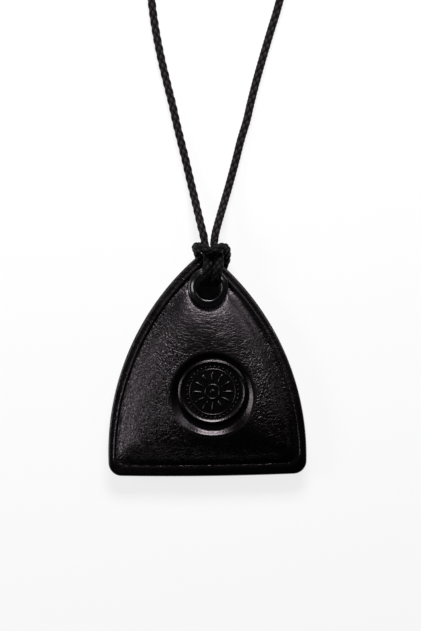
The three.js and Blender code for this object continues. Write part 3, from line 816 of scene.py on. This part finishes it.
# Medallion: a smooth leather disc, pressed with a raised border and a rosette of a ring, twelve
# strokes and a row of dots, and glued into the front cover's round seat.
medallion_middle = Vector((1.47, 20.45, seat_floor))
medallion_profile = [
    (0, 0.4), (2.2, 0.41), (5, 0.38), (6.1, 0.35), (6.6, 0.36), (6.9, 0.41), (7.12, 0.51),
    (7.28, 0.61), (7.4, 0.66), (7.5, 0.66), (7.6, 0.6), (7.7, 0.5), (7.78, 0.44), (7.85, 0.41),
    (7.92, 0.36), (7.97, 0.28), (8, 0.2), (7.97, 0.12), (7.9, 0), (0, 0),
]
inner_ring = [(1.4, 0.36), (1.48, 0.52), (1.6, 0.58), (1.8, 0.58), (1.92, 0.52), (2, 0.36)]
outer_ring = [(5.3, 0.34), (5.38, 0.45), (5.5, 0.5), (5.62, 0.45), (5.7, 0.34)]
strokes = 12
stroke_middle = (3.65, 0, 0.37)
dots = 36
dot_middle = (6.15, 0, 0.34)


def turned(bm, profile, steps):
    """Turns a closed profile of radius and height round the upright axis."""
    verts = [bm.verts.new((radius, 0, z)) for radius, z in profile]
    edges = [bm.edges.new((a, b)) for a, b in zip(verts, verts[1:])]
    if profile[0][0] > 0:
        edges.append(bm.edges.new((verts[-1], verts[0])))
    bmesh.ops.spin(bm, geom=verts + edges, cent=(0, 0, 0), axis=(0, 0, 1), dvec=(0, 0, 0),
                   angle=2 * math.pi, steps=steps, use_merge=True, use_duplicate=False)
    bmesh.ops.remove_doubles(bm, verts=bm.verts, dist=0.0004)


def set_round(bm, verts, middle, share):
    """Moves a shape out to its place, and round the medallion by a share of a turn."""
    turn = Matrix.Rotation(2 * math.pi * share, 3, "Z")
    bmesh.ops.translate(bm, verts=verts, vec=middle)
    bmesh.ops.rotate(bm, verts=verts, cent=(0, 0, 0), matrix=turn)


bm = bmesh.new()
turned(bm, medallion_profile, 120)
bmesh.ops.scale(bm, verts=bm.verts, vec=(1.05, 0.98, 1))
turned(bm, inner_ring, 48)
turned(bm, outer_ring, 96)
for k in range(strokes):
    made = bmesh.ops.create_uvsphere(bm, u_segments=10, v_segments=14, radius=1)["verts"]
    bmesh.ops.scale(bm, verts=made, vec=(0.27, 0.27, 1.2))
    for vert in made:
        vert.co = (vert.co.z, vert.co.x * (1.25 + 0.35 * vert.co.z), vert.co.y)
    set_round(bm, made, stroke_middle, k / strokes)
for k in range(dots):
    made = bmesh.ops.create_uvsphere(bm, u_segments=8, v_segments=6, radius=0.24)["verts"]
    set_round(bm, made, dot_middle, (k + 0.5) / dots)
made = bmesh.ops.create_uvsphere(bm, u_segments=16, v_segments=10, radius=0.6)["verts"]
bmesh.ops.scale(bm, verts=made, vec=(1, 1, 0.26))
bmesh.ops.translate(bm, verts=made, vec=(0, 0, 0.39))
bmesh.ops.translate(bm, verts=bm.verts, vec=medallion_middle)
faced_out(bm)
medallion = piece_from("rosette_medallion", bm)

leather_smooth, tree, shader = finish_named(
    "smooth_pressed_leather", Roughness=0.26, Specular_IOR_Level=0.45,
    Specular_Tint=(1, 0.9, 0.95, 1))
skin = place_effect(tree, grain, Place=place_in_mm(tree), Pebble_size=0.5, Stretched=0.0,
                    Drawn_down=0.0, Creases=0.1)
# The grain's valleys are painted darker than its tops: painted shade.
feed(tree, shader, {
    "Base Color": shaded(tree, skin["Valley"], (0.001, 0.0009, 0.001, 1),
                         (0.0005, 0.0004, 0.0005, 1)),
    "Roughness": ranged(tree, skin["Valley"], 0.0, 1.0, 0.22, 0.3),
    "Normal": raised(tree, skin["Height"], 0.000005),
})
medallion.data.materials.append(leather_smooth)
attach(medallion, "amulet")
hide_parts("medallion")


# Eyelet: a rolled ring of black enamelled brass. Its flange lies on the front leather, its barrel
# goes through both covers, and it is rolled over a washer at the back.
eyelet_profile = [
    (4.83, 4.7), (4.85, 4.85), (4.84, 5), (4.8, 5.12), (4.72, 5.2), (4.6, 5.26), (4.4, 5.32),
    (4.2, 5.38), (4.05, 5.44), (3.92, 5.52), (3.8, 5.6), (3.68, 5.66), (3.55, 5.69), (3.42, 5.69),
    (3.3, 5.65), (3.2, 5.57), (3.13, 5.46), (3.1, 5.32), (3.1, 5.15), (3.14, 4.9), (3.26, 4.4),
    (3.26, 2.5), (3.29, 2.38), (3.38, 2.31), (3.5, 2.3), (3.95, 2.3), (4.07, 2.33), (4.14, 2.4),
    (4.15, 2.55), (3.66, 2.55), (3.66, 4.7),
]
washer_profile = [(3.76, 2.55), (4.35, 2.55), (4.48, 2.58), (4.57, 2.66), (4.6, 2.75), (4.6, 2.9),
                  (3.76, 2.9)]

enamel, tree, shader, peel = mottled(
    "black_enamel", (0.0025, 0.0025, 0.003, 1), (0.006, 0.006, 0.007, 1), 0.00002,
    {"Scale": 1.6, "Detail": 4.0}, Roughness=0.16, Coat_Weight=0.4, Coat_Roughness=0.08)
feed(tree, shader, {"Roughness": ranged(tree, peel, 0.3, 0.7, 0.19, 0.3)})
for piece_name, profile, steps, name in (
    ("rolled_eyelet", eyelet_profile, 120, "eyelet"),
    ("eyelet_back_washer", washer_profile, 96, "eyelet_washer"),
):
    bm = bmesh.new()
    turned(bm, profile, steps)
    bmesh.ops.translate(bm, verts=bm.verts, vec=eyelet_middle.to_3d())
    faced_out(bm)
    piece = piece_from(piece_name, bm)
    piece.data.materials.append(enamel)
    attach(piece, "amulet")
    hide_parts(name)


# Table and light: a white table top in a dim room. A soft lamp hangs beyond the amulet's tip, a
# weaker one stands low at its left, and a small one at its upper right. Under the eyelet's hole
# the table is painted dark and has no glow: a painted shade.
hole_shade = (0.0055, 0.0065)
table_seen = 0.8
bm = bmesh.new()
bmesh.ops.create_grid(bm, x_segments=4, y_segments=4, size=1.5)
mesh = bpy.data.meshes.new("white_table")
bm.to_mesh(mesh)
bm.free()
table = bpy.data.objects.new("white_table", mesh)
bpy.context.scene.collection.objects.link(table)
table_white, tree, shader = finish_named("white_table_top", Roughness=0.9)
rays = node(tree, "LightPath").outputs
seen = reckoned(tree, "MAXIMUM", rays["Is Camera Ray"], rays["Is Glossy Ray"])
seen = reckoned(tree, "MAXIMUM", seen, rays["Is Transmission Ray"])
away = distance_from(tree, node(tree, "TexCoord").outputs["Object"], at(*eyelet_middle, 0))
# Within hole_shade of the eyelet the table's glow is taken away and its colour painted dark:
# painted shade.
clear = ranged(tree, away, *hole_shade, 0.0, table_seen)
feed(tree, shader, {"Base Color": ranged(tree, clear, 0.0, table_seen, 0.06, 0.9)})
glow = node(tree, "Emission", Color=(1, 1, 1, 1), Strength=1.0)
blend = feed(tree, node(tree, "MixShader"), {
    0: reckoned(tree, "MULTIPLY", seen, clear), 1: shader.outputs[0], 2: glow.outputs[0],
})
feed(tree, tree.nodes["Material Output"], {"Surface": blend.outputs[0]})
mesh.materials.append(table_white)

world = bpy.data.worlds.new("pale_room")
world.use_nodes = True
tree = world.node_tree
way = node(tree, "TexCoord").outputs["Generated"]
upward = node(tree, "SeparateXYZ", Vector=way).outputs["Z"]
feed(tree, tree.nodes["Background"], {
    "Color": (1, 1, 1, 1),
    "Strength": ranged(tree, upward, 0.0, 0.4, 0.035, 0.0015, "SMOOTHSTEP"),
})
bpy.context.scene.world = world

lamp_aim = Vector((0, 0.01, 0))
for name, place, width, length, watts in (
    ("soft_lamp_beyond_tip", (0.025, 0.32, 0.26), 0.22, 0.135, 2.1),
    ("low_lamp_left", (-0.335, 0.03, 0.2), 0.2, 0.13, 0.55),
    ("weak_lamp_right", (0.255, 0.205, 0.2), 0.1, 0.1, 0.11),
):
    lamp_data = bpy.data.lights.new(name, "AREA")
    lamp_data.shape = "RECTANGLE"
    lamp_data.size, lamp_data.size_y = width, length
    lamp_data.energy = watts
    lamp = bpy.data.objects.new(name, lamp_data)
    lamp.location = place
    lamp.rotation_euler = (lamp_aim - Vector(place)).to_track_quat("-Z", "Y").to_euler()
    bpy.context.scene.collection.objects.link(lamp)
bpy.context.scene.view_settings.view_transform = "Standard"
